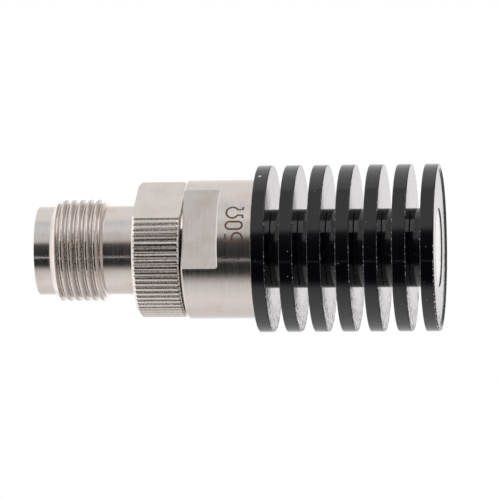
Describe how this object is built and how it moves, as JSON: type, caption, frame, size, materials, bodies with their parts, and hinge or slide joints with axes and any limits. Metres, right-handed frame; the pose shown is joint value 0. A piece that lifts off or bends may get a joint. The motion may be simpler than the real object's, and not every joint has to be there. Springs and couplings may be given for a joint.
{
  "type": "coaxial termination",
  "caption": "Coaxial termination on end: a threaded jack with a knurled, flatted collar, a round load body with wrench flats, and a black finned heat sink that sheds the load's heat.",
  "frame": {"origin": "centre of the heat sink's end face, which the part stands on", "axes": "+Z along the part's axis from the end face to the jack's mouth; the load body's wrench flats face -Y and +Y; +X completes a right-handed frame"},
  "size_m": [0.018, 0.018, 0.0435],
  "materials": {
    "nickel": "nickel-plated, fine turned satin",
    "black_anodised": "black anodised, smooth",
    "insulator": "white fluoropolymer",
    "gold": "gold-plated",
    "brass": "plain turned",
    "ceramic": "matt"
  },
  "bodies": {
    "root": {"connector_shell": "nickel", "load_body": "nickel", "end_plug": "nickel", "heat_sink": "black_anodised", "front_insulator": "insulator", "support_bead": "insulator", "centre_contact": "gold", "front_cap": "gold", "rear_cap": "gold", "retaining_ring": "brass", "taper_sleeve": "brass", "resistor_rod": "ceramic"}
  },
  "joints": []
}
